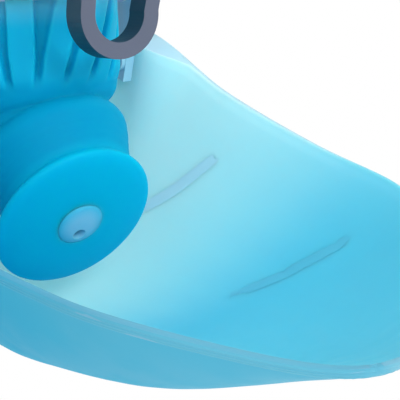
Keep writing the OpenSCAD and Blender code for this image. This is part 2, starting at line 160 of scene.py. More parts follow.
def make_edge_wear():
    """Mask of rubbed convex edges, broken up by noise."""
    group, start, end = new_group("edge_rub", [
        ("Sharpness", "NodeSocketFloat", 0.55), ("Break Up", "NodeSocketFloat", 90.0)],
        [("Mask", "NodeSocketFloat")])
    geo = group.nodes.new("ShaderNodeNewGeometry")
    coords = group.nodes.new("ShaderNodeTexCoord").outputs["Object"]
    edge = remap(group, geo.outputs["Pointiness"], start.outputs["Sharpness"],
                 maths(group, "ADD", start.outputs["Sharpness"], 0.08), 0.0, 1.0)
    noise = noise_node(group, coords, start.outputs["Break Up"], 4.0, 0.65)
    broken = maths(group, "MULTIPLY", edge, remap(group, noise.outputs["Fac"], 0.35, 0.6, 0.2, 1.0))
    group.links.new(broken, end.inputs["Mask"])
    return group


def make_dust():
    """Thin film of dust and water marks that settles in hollows."""
    group, start, end = new_group("hollow_dust", [("Amount", "NodeSocketFloat", 0.3)],
                                  [("Mask", "NodeSocketFloat")])
    geo = group.nodes.new("ShaderNodeNewGeometry")
    coords = group.nodes.new("ShaderNodeTexCoord").outputs["Object"]
    hollow = remap(group, geo.outputs["Pointiness"], 0.49, 0.42, 0.0, 1.0)
    noise = noise_node(group, coords, 140.0, 5.0, 0.6)
    spots = remap(group, noise.outputs["Fac"], 0.45, 0.7, 0.0, 1.0)
    both = maths(group, "MULTIPLY", maths(group, "ADD", hollow, 0.15), spots)
    group.links.new(maths(group, "MULTIPLY", both, start.outputs["Amount"]), end.inputs["Mask"])
    return group


def make_axis_fade():
    """Mask that rises along a direction of the piece's own frame."""
    group, start, end = new_group("axis_fade", [
        ("Axis", "NodeSocketVector", (0, 0, 1)), ("Fade Start", "NodeSocketFloat", 0.0),
        ("Fade End", "NodeSocketFloat", 1.0), ("Strength", "NodeSocketFloat", 1.0)],
        [("Mask", "NodeSocketFloat")])
    coords = group.nodes.new("ShaderNodeTexCoord").outputs["Object"]
    along = group.nodes.new("ShaderNodeVectorMath")
    along.operation = "DOT_PRODUCT"
    group.links.new(coords, along.inputs[0])
    group.links.new(start.outputs["Axis"], along.inputs[1])
    mask = remap(group, along.outputs["Value"], start.outputs["Fade Start"], start.outputs["Fade End"], 0.0,
                 start.outputs["Strength"])
    group.links.new(mask, end.inputs["Mask"])
    return group


def make_round_fade():
    """Mask that rises with the distance from a point; a zero in Squash measures from a line instead."""
    group, start, end = new_group("round_fade", [
        ("Centre", "NodeSocketVector", (0, 0, 0)), ("Squash", "NodeSocketVector", (1, 1, 1)),
        ("Fade Start", "NodeSocketFloat", 0.0), ("Fade End", "NodeSocketFloat", 1.0),
        ("Strength", "NodeSocketFloat", 1.0)], [("Mask", "NodeSocketFloat")])
    offset = group.nodes.new("ShaderNodeVectorMath")
    offset.operation = "SUBTRACT"
    group.links.new(group.nodes.new("ShaderNodeTexCoord").outputs["Object"], offset.inputs[0])
    group.links.new(start.outputs["Centre"], offset.inputs[1])
    flat = group.nodes.new("ShaderNodeVectorMath")
    flat.operation = "MULTIPLY"
    group.links.new(offset.outputs["Vector"], flat.inputs[0])
    group.links.new(start.outputs["Squash"], flat.inputs[1])
    away = group.nodes.new("ShaderNodeVectorMath")
    away.operation = "LENGTH"
    group.links.new(flat.outputs["Vector"], away.inputs[0])
    mask = remap(group, away.outputs["Value"], start.outputs["Fade Start"], start.outputs["Fade End"], 0.0,
                 start.outputs["Strength"])
    group.links.new(mask, end.inputs["Mask"])
    return group


def make_painted_side_shade():
    """Painted shade: mask of the faces that run along a direction of the piece's own frame, not across it."""
    group, start, end = new_group("painted_side_shade", [("Axis", "NodeSocketVector", (0, 0, 1))],
                                  [("Mask", "NodeSocketFloat")])
    normal = group.nodes.new("ShaderNodeTexCoord").outputs["Normal"]
    along = group.nodes.new("ShaderNodeVectorMath")
    along.operation = "DOT_PRODUCT"
    group.links.new(normal, along.inputs[0])
    group.links.new(start.outputs["Axis"], along.inputs[1])
    across = maths(group, "ABSOLUTE", along.outputs["Value"])
    group.links.new(remap(group, across, 0.75, 0.3, 0.0, 1.0), end.inputs["Mask"])
    return group


def make_painted_edge_highlight():
    """Painted highlight: mask of narrow convex edges, where light comes through translucent silicone."""
    group, start, end = new_group("painted_edge_highlight", [
        ("Sharpness", "NodeSocketFloat", 0.52), ("Strength", "NodeSocketFloat", 0.6)],
        [("Mask", "NodeSocketFloat")])
    geo = group.nodes.new("ShaderNodeNewGeometry")
    edge = remap(group, geo.outputs["Pointiness"], start.outputs["Sharpness"],
                 maths(group, "ADD", start.outputs["Sharpness"], 0.06), 0.0, start.outputs["Strength"])
    group.links.new(edge, end.inputs["Mask"])
    return group


CLOUDY = make_cloudy()
MOULD_GRAIN = make_mould_grain()
EDGE_RUB = make_edge_wear()
HOLLOW_DUST = make_dust()
AXIS_FADE = make_axis_fade()
ROUND_FADE = make_round_fade()
PAINTED_SIDE_SHADE = make_painted_side_shade()
PAINTED_EDGE_HIGHLIGHT = make_painted_edge_highlight()


def place(tree, group, **values):
    node = tree.nodes.new("ShaderNodeGroup")
    node.node_tree = group
    for name, value in values.items():
        node.inputs[name.replace("_", " ")].default_value = value
    return node


def moulded(name, light, deep, rough=(0.35, 0.5), tint_scale=30.0, drift=0.5, grain=2500.0, bump=0.12,
            rub=None, dust=0.0, rounds=(), fades=(), flank_shade=None, painted_highlight=None, **sockets):
    """Moulded or machined finish: drifting tint, fine grain, tone fades (some of them painted light and
    shade), painted shade on flanks, painted edge highlights, rubbed edges and a little dust.

    rounds: tone, centre, squash, fade start, fade end, strength. fades: tone, axis, start, end, strength.
    flank_shade: tone of painted shade, axis. painted_highlight: tone of painted highlight, sharpness,
    strength. rub: tone, sharpness, break up. Lengths in metres.
    """
    mat = bpy.data.materials.new(name)
    mat.use_nodes = True
    tree = mat.node_tree
    shader = tree.nodes["Principled BSDF"]
    tint = place(tree, CLOUDY, Light_Tint=light, Deep_Tint=deep, Scale=tint_scale, Drift=drift)
    colour = tint.outputs["Color"]
    for tone, centre, squash, first, last, strength in rounds:
        fade = place(tree, ROUND_FADE, Centre=centre, Squash=squash, Fade_Start=first, Fade_End=last,
                     Strength=strength)
        colour = colour_mix(tree, fade.outputs["Mask"], colour, tone)
    for tone, axis, first, last, strength in fades:
        fade = place(tree, AXIS_FADE, Axis=axis, Fade_Start=first, Fade_End=last, Strength=strength)
        colour = colour_mix(tree, fade.outputs["Mask"], colour, tone)
    if flank_shade:
        flank = place(tree, PAINTED_SIDE_SHADE, Axis=flank_shade[1])
        colour = colour_mix(tree, flank.outputs["Mask"], colour, flank_shade[0])
    if painted_highlight:
        edges = place(tree, PAINTED_EDGE_HIGHLIGHT, Sharpness=painted_highlight[1], Strength=painted_highlight[2])
        colour = colour_mix(tree, edges.outputs["Mask"], colour, painted_highlight[0])
    if rub:
        worn = place(tree, EDGE_RUB, Sharpness=rub[1], Break_Up=rub[2])
        colour = colour_mix(tree, worn.outputs["Mask"], colour, rub[0])
    if dust:
        film = place(tree, HOLLOW_DUST, Amount=dust)
        colour = colour_mix(tree, film.outputs["Mask"], colour, srgb(205, 206, 204))
    tree.links.new(colour, shader.inputs["Base Color"])
    fine = place(tree, MOULD_GRAIN, Grain_Scale=grain, Smooth_Roughness=rough[0], Rough_Roughness=rough[1])
    tree.links.new(fine.outputs["Roughness"], shader.inputs["Roughness"])
    lift = tree.nodes.new("ShaderNodeBump")
    lift.inputs["Strength"].default_value = bump
    lift.inputs["Distance"].default_value = 0.0004
    tree.links.new(fine.outputs["Height"], lift.inputs["Height"])
    tree.links.new(lift.outputs["Normal"], shader.inputs["Normal"])
    for sock, value in sockets.items():
        shader.inputs[sock.replace("_", " ")].default_value = value
    return mat


CLIP_LEAN = math.radians(2)            # the carabiner's lean on its lug
CLIP_AXIS = (math.cos(CLIP_LEAN), 0.0, -math.sin(CLIP_LEAN))

SILICONE = dict(IOR=1.41, Subsurface_Radius=(0.7, 1.0, 1.0), Subsurface_Scale=0.006)
NOZZLE_SPOT = (0.0230, 0.0, 0.2244)    # palest point of the nozzle, in metres
SPOT_EDGE, SPOT_CORE = 0.0076, 0.0028  # distances from it at which the pale tone begins and is full
BLUE, NOZZLE_PALE = srgb(0, 154, 196), srgb(130, 194, 222)
# the inner wall deepens towards the floor and is painted palest at the hinge: painted light where the head
# shades it;
# outside, the bowl's deep tone is painted shade, and painted light pales it towards its tip and towards its
# -Y side
INNER_TONE_AND_PAINTED_LIGHT = ((srgb(90, 198, 225), (0.262, 0, 0.965), 0.1993, 0.2447, 0.95),
               (srgb(200, 246, 255), (0.8, 0.6, 0), 0.018, -0.025, 0.95))
BOWL_SILICONE = moulded("bowl_silicone", srgb(148, 212, 230), srgb(139, 208, 228), (0.42, 0.55), 14, 0.5,
                        1800, 0.06, fades=INNER_TONE_AND_PAINTED_LIGHT, Specular_IOR_Level=0.3, Subsurface_Weight=0.8,
                        **SILICONE)
VEIN_SILICONE = moulded("vein_silicone", srgb(140, 206, 228), srgb(132, 202, 225), (0.42, 0.55), 14, 0.5,
                        1800, 0.06, fades=INNER_TONE_AND_PAINTED_LIGHT, Specular_IOR_Level=0.3, IOR=1.41)
# painted shade: the outer face is painted deeper than the inner face of the same silicone; painted light
# pales it towards the tip and the -Y side
BOWL_OUTSIDE_PAINTED_LIGHT_AND_SHADE = moulded("bowl_outside_painted_light_and_shade", srgb(14, 166, 206), srgb(6, 160, 204), (0.45, 0.58), 14, 0.5,
                       1800, 0.06, fades=((srgb(88, 182, 212), (1, 0, 0), 0.03, 0.15, 0.9),
                                          (srgb(186, 230, 242), (0, 1, 0), 0.03, -0.06, 0.5)),
                       Specular_IOR_Level=0.05, Subsurface_Weight=0.2, **SILICONE)
# painted shade deepens the rim bead like the outer face; painted light pales it towards the tip and the -Y
# side, and a painted highlight runs along its edges
BOWL_RIM_PAINTED_LIGHT_AND_SHADE = moulded("bowl_rim_painted_light_and_shade", srgb(14, 160, 202), srgb(6, 152, 198), (0.45, 0.58), 14, 0.5,
                   1800, 0.06, fades=((srgb(104, 186, 212), (1, 0, 0), 0.03, 0.15, 0.9),
                                      (srgb(186, 230, 242), (0, 1, 0), 0.005, -0.03, 0.95)),
                   painted_highlight=(srgb(170, 190, 220), 0.53, 0.25), Specular_IOR_Level=0.1, Subsurface_Weight=0.2,
                   **SILICONE)
# painted light on the head: ribs paler than the webs between them, a brighter front tier and a pale skirt
# hem; a pale spot at the nozzle
HEAD_SILICONE_PAINTED_LIGHT = moulded("head_silicone_painted_light", srgb(0, 162, 204), srgb(0, 154, 198), (0.5, 0.6), 22, 0.6,
                        1800, 0.06,
                        rounds=((srgb(14, 174, 212), (0, 0, 0), (1, 1, 0), 0.0231, 0.0237, 0.9),
                                (BLUE, (0, 0, 0.1635), (0, 0, 1), 0.0195, 0.0265, 1.0),
                                (srgb(0, 180, 216), (0.0357, 0, 0.2338), (1, 1, 1), 0.034, 0.029, 0.9),
                                (NOZZLE_PALE, NOZZLE_SPOT, (1, 1, 1), SPOT_EDGE, SPOT_CORE, 0.9)),
                        fades=((srgb(96, 186, 214), (0, 0, 1), 0.1725, 0.1635, 0.75),),
                        Specular_IOR_Level=0.06, Subsurface_Weight=0.8, IOR=1.41,
                        Subsurface_Radius=(0.25, 0.8, 1.0), Subsurface_Scale=0.006)
NOZZLE_SILICONE = moulded("nozzle_silicone", srgb(0, 180, 216), srgb(2, 176, 213), (0.35, 0.45), 60, 0.6,
                          2200, 0.08,
                          rounds=((NOZZLE_PALE, NOZZLE_SPOT, (1, 1, 1), SPOT_EDGE, SPOT_CORE, 0.95),),
                          Subsurface_Weight=0.4, Subsurface_Radius=(0.5, 0.9, 1.0), Subsurface_Scale=0.004,
                          Specular_IOR_Level=0.3, IOR=1.41)
# painted shade: the clip's flanks along CLIP_AXIS take a dark slate-teal tone
CLIP_PLASTIC = moulded("clip_plastic", srgb(92, 98, 116), srgb(86, 92, 110), (0.42, 0.52), 40, 0.5,
                       3000, 0.1, Specular_IOR_Level=0.3, flank_shade=(srgb(16, 60, 80), CLIP_AXIS))
BAND_PLASTIC = moulded("band_plastic", srgb(104, 112, 134), srgb(94, 102, 124), (0.42, 0.52), 40, 0.5,
                       3000, 0.1, Specular_IOR_Level=0.3)
BOTTLE_PLASTIC = moulded("bottle_plastic", srgb(196, 226, 240), srgb(190, 222, 238), (0.32, 0.36), 16, 0.4,
                         1500, 0.03, Subsurface_Weight=0.3, Subsurface_Scale=0.003, IOR=1.49)
COLLAR_PLASTIC = moulded("collar_plastic", srgb(176, 190, 222), srgb(166, 180, 214), (0.3, 0.42), 40, 0.5,
                         2600, 0.08, rub=(srgb(206, 216, 236), 0.56, 120.0), dust=0.05)
EAR_PLASTIC = moulded("ear_plastic", srgb(160, 216, 234), srgb(152, 210, 230), (0.3, 0.42), 60, 0.5,
                      2600, 0.08, Specular_IOR_Level=0.3, dust=0.05)
RIVET_PAINT = moulded("painted_rivets", srgb(160, 216, 234), srgb(150, 208, 230), (0.35, 0.45), 60, 0.5,
                      2600, 0.08, rub=(srgb(214, 238, 244), 0.58, 200.0))
WHITE_SILICONE = moulded("white_silicone", srgb(236, 238, 240), srgb(222, 226, 230), (0.4, 0.52), 60, 0.5,
                         2600, 0.08, dust=0.2)
FLOOR_PAPER = moulded("floor_paper", srgb(240, 240, 240), srgb(234, 234, 235), (0.7, 0.85), 3, 0.4, 400, 0.05)
STEEL = moulded("brushed_steel", srgb(196, 199, 203), srgb(176, 179, 184), (0.2, 0.34), 220, 0.7,
                3600, 0.12, rub=(srgb(224, 226, 229), 0.56, 260.0), Metallic=1.0)
BRASS = moulded("turned_brass", srgb(206, 170, 96), srgb(180, 140, 70), (0.25, 0.4), 220, 0.7,
                3600, 0.12, rub=(srgb(232, 204, 140), 0.56, 260.0), Metallic=1.0)

# ---------- mesh helpers ----------


def piece_from(name, points_mm, faces, body, finish, slot, sharp_deg=40):
    mesh = bpy.data.meshes.new(name)
    mesh.from_pydata([tuple(c * MM for c in p) for p in points_mm], [], faces)
    mesh.validate()
    return dress(name, mesh, body, finish, sharp_deg)


def dress(name, mesh, body, finish, sharp_deg=40):
    obj = bpy.data.objects.new(name, mesh)
    bpy.context.scene.collection.objects.link(obj)
    mesh.materials.clear()
    mesh.materials.append(finish)
    mesh.shade_smooth()
    if sharp_deg:
        mesh.set_sharp_from_angle(angle=math.radians(sharp_deg))
    if body:
        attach(obj, body)
    return obj


def loft(rows, close_rows=False, cap=True):
    """Faces that join closed rings of equal length, with a fan over each end."""
    n = len(rows[0])
    points = [p for row in rows for p in row]
    faces = []
    last = len(rows) if close_rows else len(rows) - 1
    for i in range(last):
        k = (i + 1) % len(rows)
        for j in range(n):
            m = (j + 1) % n
            faces.append((i * n + j, i * n + m, k * n + m, k * n + j))
    if cap and not close_rows:
        for i in (0, len(rows) - 1):
            mid = Vector((0, 0, 0))
            for p in rows[i]:
                mid += Vector(p)
            points.append(tuple(mid / n))
            c = len(points) - 1
            for j in range(n):
                m = (j + 1) % n
                faces.append((i * n + m, i * n + j, c) if i == 0 else (i * n + j, i * n + m, c))
    return points, faces


def joined(solids):
    points, faces = [], []
    for pts, fcs in solids:
        base = len(points)
        points += pts
        faces += [tuple(base + i for i in f) for f in fcs]
    return points, faces


# ---------- leaf bowl ----------

BOWL_REACH, BOWL_REAR = 177.0, -50.0
BOWL_PITCH = BOWL_REACH / 6
BOWL_WALL, LIP_T, LIP_H = 2.0, 3.0, 3.0
LIP_GROOVES, GROOVE_DEEP, GROOVE_W = (1.0, 2.0), 0.22, 0.18
# half width, rim height and floor height at every pitch of the bowl's length
BOWL_ROWS = [(30, -66, -78), (34, -36, -82), (37.5, -14.6, -83), (48.5, -21.3, -85.6), (58.5, -23.8, -78.1),
             (66, -22.5, -67.3), (61.6, -20.8, -58.5), (59.2, -16.8, -46.8), (41.4, -19.1, -34.6)]
REAR_POWER, TIP_POWER = 6, 6.2
PAD_Y = 32.0                        # inner wall at the hinge ears
TILT = math.radians(20)
COS_T, SIN_T = math.cos(TILT), math.sin(TILT)


def row_value(s, k):
    t = s / BOWL_PITCH + 2
    i = max(0, min(len(BOWL_ROWS) - 2, math.floor(t)))
    t -= i
    a, b, c, d = (BOWL_ROWS[max(0, min(len(BOWL_ROWS) - 1, i + j))][k] for j in (-1, 0, 1, 2))
    return b + 0.5 * t * (c - a + t * (2 * a - 5 * b + 4 * c - d + t * (3 * (b - c) + d - a)))


def nose(s, p):
    return math.sqrt(max(0.0, 1 - abs(s / (BOWL_REACH if s > 0 else BOWL_REAR)) ** p))


def bowl_depths(s):
    rim = row_value(s, 1)
    return rim, rim + (row_value(s, 2) - rim) * nose(s, 4)


def bowl_point(s, v):
    rim, floor = bowl_depths(s)
    half_width = row_value(s, 0) * nose(s, TIP_POWER if s > 0 else REAR_POWER)
    return Vector((s, half_width * v, floor + (rim - floor) * abs(v) ** 3))


def bowl_normal(s, v):
    a = bowl_point(min(s + 0.5, BOWL_REACH - 0.02), v) - bowl_point(max(s - 0.5, BOWL_REAR + 0.02), v)
    b = bowl_point(s, min(v + 0.01, 1)) - bowl_point(s, max(v - 0.01, -1))
    return a.cross(b).normalized()


def open_bowl(p):
    """Bowl frame (along, across, towards the open side) to the object's frame, in mm."""
    s, y, h = p
    return (s * COS_T + h * SIN_T, -y, PIN_Z + s * SIN_T - h * COS_T)


def lip_bead(d):
    """How far the bead stands off the wall at a depth below the rim: two fine grooves run round it."""
    bead = (LIP_T - BOWL_WALL) * smooth(LIP_H + 0.35, LIP_H - 0.45, d)
    for at in LIP_GROOVES:
        bead -= GROOVE_DEEP * math.exp(-((d - at) / GROOVE_W) ** 2)
    return bead - 0.6 * smooth(0.6, 0.0, d) ** 2


def flat_pad(p):
    """Inner wall eased out to a flat pad where each hinge ear is riveted."""
    grip = smooth(20, 9, abs(p[0])) * smooth(-44, -30, p[2])
    if abs(p[1]) > PAD_Y:
        p[1] = math.copysign(mix(abs(p[1]), PAD_Y, grip), p[1])
    return p


LIP_STEPS = [0.0, 0.1, 0.25, 0.45, 0.65, 0.8, 0.9, 1.0, 1.1, 1.22, 1.5, 1.78, 1.9, 2.0, 2.1, 2.25, 2.5, 2.7,
             2.85, 3.0, 3.2, 3.5]


BOWL_STEPS, WALL_STEPS = 130, 16


def make_bowl():
    """Bowl as one closed skin, outer face then inner face; gives back a search tree of its faces."""
    stations = [mix(BOWL_REAR + 0.06, BOWL_REACH - 0.06, (1 - math.cos(math.pi * i / BOWL_STEPS)) / 2)
                for i in range(BOWL_STEPS + 1)]
    rows = []
    for s in stations:
        rim, floor = bowl_depths(s)
        deep = max(rim - floor, 0.02)
        squeeze = min(1.0, 0.8 * deep / LIP_STEPS[-1])
        side = []                          # v and depth below the rim, from the rim inwards
        for d in LIP_STEPS:
            side.append(((1 - d * squeeze / deep) ** (1 / 3), d * squeeze))
        last = side[-1][0]
        wall = [last * (1 - (k / WALL_STEPS) ** 1.15) for k in range(1, WALL_STEPS + 1)]
        side += [(v, (1 - v ** 3) * deep) for v in wall]
        ring = []
        for sign, part in ((-1, side), (1, side[-2::-1])):
            for v, d in part:
                n = bowl_normal(s, sign * v)
                ring.append(bowl_point(s, sign * v) - n * lip_bead(d))
        for sign, part in ((1, side), (-1, side[-2::-1])):
            for v, d in part[::2] if sign == 1 else part[1::2]:
                n = bowl_normal(s, sign * v)
                wall_t = BOWL_WALL - 0.6 * smooth(3.5, 0.6, d) - 0.35 * smooth(0.6, 0.0, d) ** 2
                ring.append(flat_pad(bowl_point(s, sign * v) + n * wall_t))
        rows.append([open_bowl(p) for p in ring])
    points, faces = loft(rows)
    piece = piece_from("bowl_shell", points, faces, "bowl", BOWL_SILICONE, "bowl_silicone", 60)
    piece.data.materials.append(BOWL_OUTSIDE_PAINTED_LIGHT_AND_SHADE)
    piece.data.materials.append(BOWL_RIM_PAINTED_LIGHT_AND_SHADE)
    outside, around, bead = 2 * len(side) - 1, len(rows[0]), len(LIP_STEPS) - 2
    walls = (len(rows) - 1) * around
    for face in piece.data.polygons:
        j = face.index % around
        if face.index < walls and (j < bead or outside - 1 - bead <= j < outside or j == around - 1):
            face.material_index = 2
        elif face.index >= walls or j < outside:
            face.material_index = 1
    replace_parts(piece, "leaf_bowl")
    return BVHTree.FromPolygons(points, faces)


VEIN_W, VEIN_H = 3.0, 0.15
VEINS = [(-38, 0.72, 0.93), (17, 0.6, 0.88)]   # start in the bowl's middle, and the share of the way it shows
VEIN_RUN = 80                          # how far forward a vein has run when it meets the rim
VEIN_STEPS, VEIN_SIDES, VEIN_ROOT = 40, 16, 0.2


def make_veins(wall):
    """Faint leaf veins: low rounded ridges that run out and forward over the inner wall."""
    solids = []
    for start, v0, v1 in VEINS:
        for side in (-1, 1):
            spine = []
            for k in range(VEIN_STEPS + 1):
                v = mix(v0, v1, k / VEIN_STEPS)
                s = start + VEIN_RUN * v
                inner = bowl_point(s, side * v) + bowl_normal(s, side * v) * BOWL_WALL
                spine.append(wall.find_nearest(Vector(open_bowl(inner)))[:2])
            rows = []
            for k, (mid, n) in enumerate(spine):
                ahead = spine[min(k + 1, VEIN_STEPS)][0] - spine[max(k - 1, 0)][0]
                out = ahead.cross(n).normalized()
                f = k / VEIN_STEPS
                taper = smooth(0, 0.3, f) * smooth(1.0, 0.7, f) * 0.98 + 0.02
                rows.append([tuple(mid + out * (VEIN_W / 2 * math.cos(t)) + n * math.sin(t)
                                   * (VEIN_H * taper if math.sin(t) > 0 else VEIN_ROOT))
                             for t in (2 * math.pi * j / VEIN_SIDES for j in range(VEIN_SIDES))])
            solids.append(loft(rows))
    veins = piece_from("bowl_veins", *joined(solids), "bowl", VEIN_SILICONE, "bowl_silicone", 60)
    skin = bmesh.new()
    skin.from_mesh(veins.data)
    bmesh.ops.recalc_face_normals(skin, faces=skin.faces)
    skin.to_mesh(veins.data)
    skin.free()


# ---------- spout head ----------

SKIRT_BASE, SKIRT_TOP, SKIRT_R = 164.5, 192.5, 22.8
RIB_COUNT, RIB_W, RIB_RISE, RIB_STRAIGHT = 17, 7.2, 1.4, math.radians(33.8)
RIB_FAN, RIB_EVEN_Z, RIB_SHARE = 0.31, 182.0, 0.78
WEB_DROP = 0.7
PLUG_R, PLUG_H, BOSS_R = 19.6, 7.0, 5.4
NOZZLE_AT, NOZZLE_TURN = (21.8, 0.0, 223.7), math.radians(54)
# front tier: a low dome
FACE_AT, FACE_TURN, FACE_R, FACE_H = (19.15, 0.0, 222.6), math.radians(55.75), 22.34, 4.33
FACE_POWER, FACE_ROLL = 1.67, 2.2
# discs that step the head over: centre x and z, turn, radius, thickness
HEAD_DISCS = [(2.2, 192.0, 18, 22.2, 12), (6.0, 200.0, 33, 18.5, 12), (10.2, 206.8, 45, 21.1, 10.4)]
HEAD_DISCS += [(10.2 + 7.0 * f, 206.8 + 9.4 * f, 45 + 7 * f, 21.4 - 4.0 * f + 0.8 * f * f, 9)
               for f in (0.2, 0.4, 0.6, 0.8, 1.0)]


def turned(profile, at, angle, n=96):
    """Closed solid of revolution from (radius, height) pairs, tilted about Y and placed at a point."""
    around = [2 * math.pi * j / n for j in range(n)]
    rows = [[(math.cos(a) * r, math.sin(a) * r, h) for a in around] for r, h in profile]
    points, faces = loft(rows)
    move = Matrix.Translation(at) @ Matrix.Rotation(angle, 4, "Y")
    return [tuple(move @ Vector(p)) for p in points], faces


def round_edge(r, t, n=12):
    half = t / 2
    arc = [(r - half + half * math.cos(a), half * math.sin(a))
           for a in (mix(-math.pi / 2, math.pi / 2, k / n) for k in range(n + 1))]
    return [(0.5, -half)] + arc + [(0.5, half)]


def rib_mask(a, z, soft):
    """1 on a rib and 0 on the web between two ribs; the ribs fan apart towards the bottle in front."""
    best = 0.0
    up = RIB_FAN * (z - RIB_EVEN_Z) / 10
    for i in range(RIB_COUNT):
        turn = 2 * math.pi * i / RIB_COUNT
        centre = RIB_STRAIGHT + turn - up * math.sin(turn)
        spacing = 2 * math.pi / RIB_COUNT * (1 - up * math.cos(turn)) * SKIRT_R
        half = min(RIB_W, RIB_SHARE * spacing) / 2
        off = (a - centre + math.pi) % (2 * math.pi) - math.pi
        best = max(best, smooth(half + soft, half - soft, abs(off) * SKIRT_R))
    return best


def skirt_solid():
    """Skirt and its fanned ribs as one ring of columns; rib feet run out over the collar's edge."""
    n_round, n_up = 17 * 32, 48
    columns = []
    for j in range(n_round):
        a = 2 * math.pi * j / n_round
        foot = rib_mask(a, SKIRT_BASE, 0.4)
        base = SKIRT_BASE + 0.05
        low = mix(base, SKIRT_BASE - 1.9, foot)
        column = [(12.0, base), (mix(22.4, 25.3, foot), base), (mix(22.6, 27.2, foot), low)]
        for k in range(n_up + 1):
            z = mix(low, SKIRT_TOP, (k / n_up) ** 1.15)
            rib = rib_mask(a, max(z, SKIRT_BASE), 0.35)
            fade = smooth(191.5, 185.0, z)
            flare = 3.6 * foot * max(0.0, (167.2 - z) / 4.6) ** 1.5
            relief = (rib * (RIB_RISE + WEB_DROP) - WEB_DROP) * fade
            column.append((SKIRT_R + relief + flare - 2.0 * smooth(SKIRT_TOP - 3.5, SKIRT_TOP, z) ** 2, z))
        column.append((12.0, SKIRT_TOP))
        columns.append([(r * math.cos(a), r * math.sin(a), z) for r, z in column])
    rows = [[col[k] for col in columns] for k in range(len(columns[0]))]
    return loft(rows)


def carved(mesh, cutters, operation="DIFFERENCE"):
    """Exact booleans of a mesh with closed solids, one after another."""
    shape = bpy.data.objects.new("shape", mesh)
    bpy.context.scene.collection.objects.link(shape)
    for pts, fcs in cutters:
        tool = piece_from("tool", pts, fcs, None, HEAD_SILICONE_PAINTED_LIGHT, None, 0)
        cut = shape.modifiers.new("cut", "BOOLEAN")
        cut.operation = operation
        cut.solver = "EXACT"
        cut.object = tool
        mesh = evaluated(shape)
        shape.modifiers.clear()
        shape.data = mesh
        bpy.data.objects.remove(tool)
    bpy.data.objects.remove(shape)
    return mesh


def side_pin(side, r, y0, y1, z=PIN_Z, n=48):
    """Closed cylinder along the hinge axis between two distances from the middle."""
    rows = [[(r * math.cos(t), side * y, z + r * math.sin(t)) for t in
             (2 * math.pi * j / n for j in range(n))] for y in (y0, y1)]
    return loft(rows)


def make_head():
    solids = [skirt_solid()]
    for x, z, turn, r, t in HEAD_DISCS:
        solids.append(turned(round_edge(r, t), (x, 0, z), math.radians(turn)))
    # the back edge of the front tier rolls in
    dome = [(FACE_R - FACE_ROLL * (1 - math.cos(t)), -FACE_ROLL * math.sin(t)) for t in
            (math.pi / 2 * (1 - k / 8) for k in range(8))]
    dome += [(FACE_R * math.sqrt(1 - f ** FACE_POWER), FACE_H * f) for f in (k / 25 for k in range(25))]
    solids.append(turned([(0.5, -5.0)] + dome + [(0.5, FACE_H)], FACE_AT, FACE_TURN))
    body = piece_from("head_form", *joined(solids), None, HEAD_SILICONE_PAINTED_LIGHT, None, 0)
    fuse = body.modifiers.new("fuse", "REMESH")
    fuse.mode = "VOXEL"
    fuse.voxel_size = 0.4 * MM
    soften = body.modifiers.new("soften", "SMOOTH")
    soften.factor = 0.5
    soften.iterations = 8
    mesh = evaluated(body)
    bpy.data.objects.remove(body)
    socket = [(0.5, -3), (PLUG_R, -3), (PLUG_R, PLUG_H), (0.5, PLUG_H)]
    mesh = carved(mesh, [turned(socket, (0, 0, SKIRT_BASE), 0),
                         turned([(0.5, -6), (6.35, -6), (6.35, 8), (0.5, 8)], NOZZLE_AT, NOZZLE_TURN),
                         side_pin(1, BOSS_R + 0.1, 17, 30), side_pin(-1, BOSS_R + 0.1, 17, 30)])
    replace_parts(dress("head_skin", mesh, "head", HEAD_SILICONE_PAINTED_LIGHT, 50), "spout_head")


def make_nozzle():
    """Soft button of the nozzle with a round edge and an off-centre outlet."""
    back, rim, edge, crown = -3.2, 6.4, 1.15, 1.45
    profile = [(0.5, back), (rim, back), (rim, edge)]
    profile += [(rim * math.cos(t), edge + crown * math.sin(t)) for t in
                (math.pi / 2 * k / 12 for k in range(1, 12))]
    profile += [(0.5, edge + crown)]
    turn = Matrix.Translation(NOZZLE_AT) @ Matrix.Rotation(NOZZLE_TURN, 4, "Y")
    hole_at = turn @ Vector((-2.6, 0, 0))
    button = piece_from("button_form", *turned(profile, NOZZLE_AT, NOZZLE_TURN), None, NOZZLE_SILICONE,
                        None, 0)
    mesh = carved(button.data, [turned([(0.4, -8), (1.5, -8), (1.5, 1.7), (1.8, 2.2), (2.1, 4), (0.4, 4)],
                                       tuple(hole_at), NOZZLE_TURN, 48),
                                turned([(0.5, -8), (4.6, -8), (4.6, back + 1), (0.5, back + 1)], NOZZLE_AT,
                                       NOZZLE_TURN)])
    bpy.data.objects.remove(button)
    piece = dress("nozzle_button", mesh, "head", NOZZLE_SILICONE, 50)
    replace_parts(piece, "nozzle_disc")


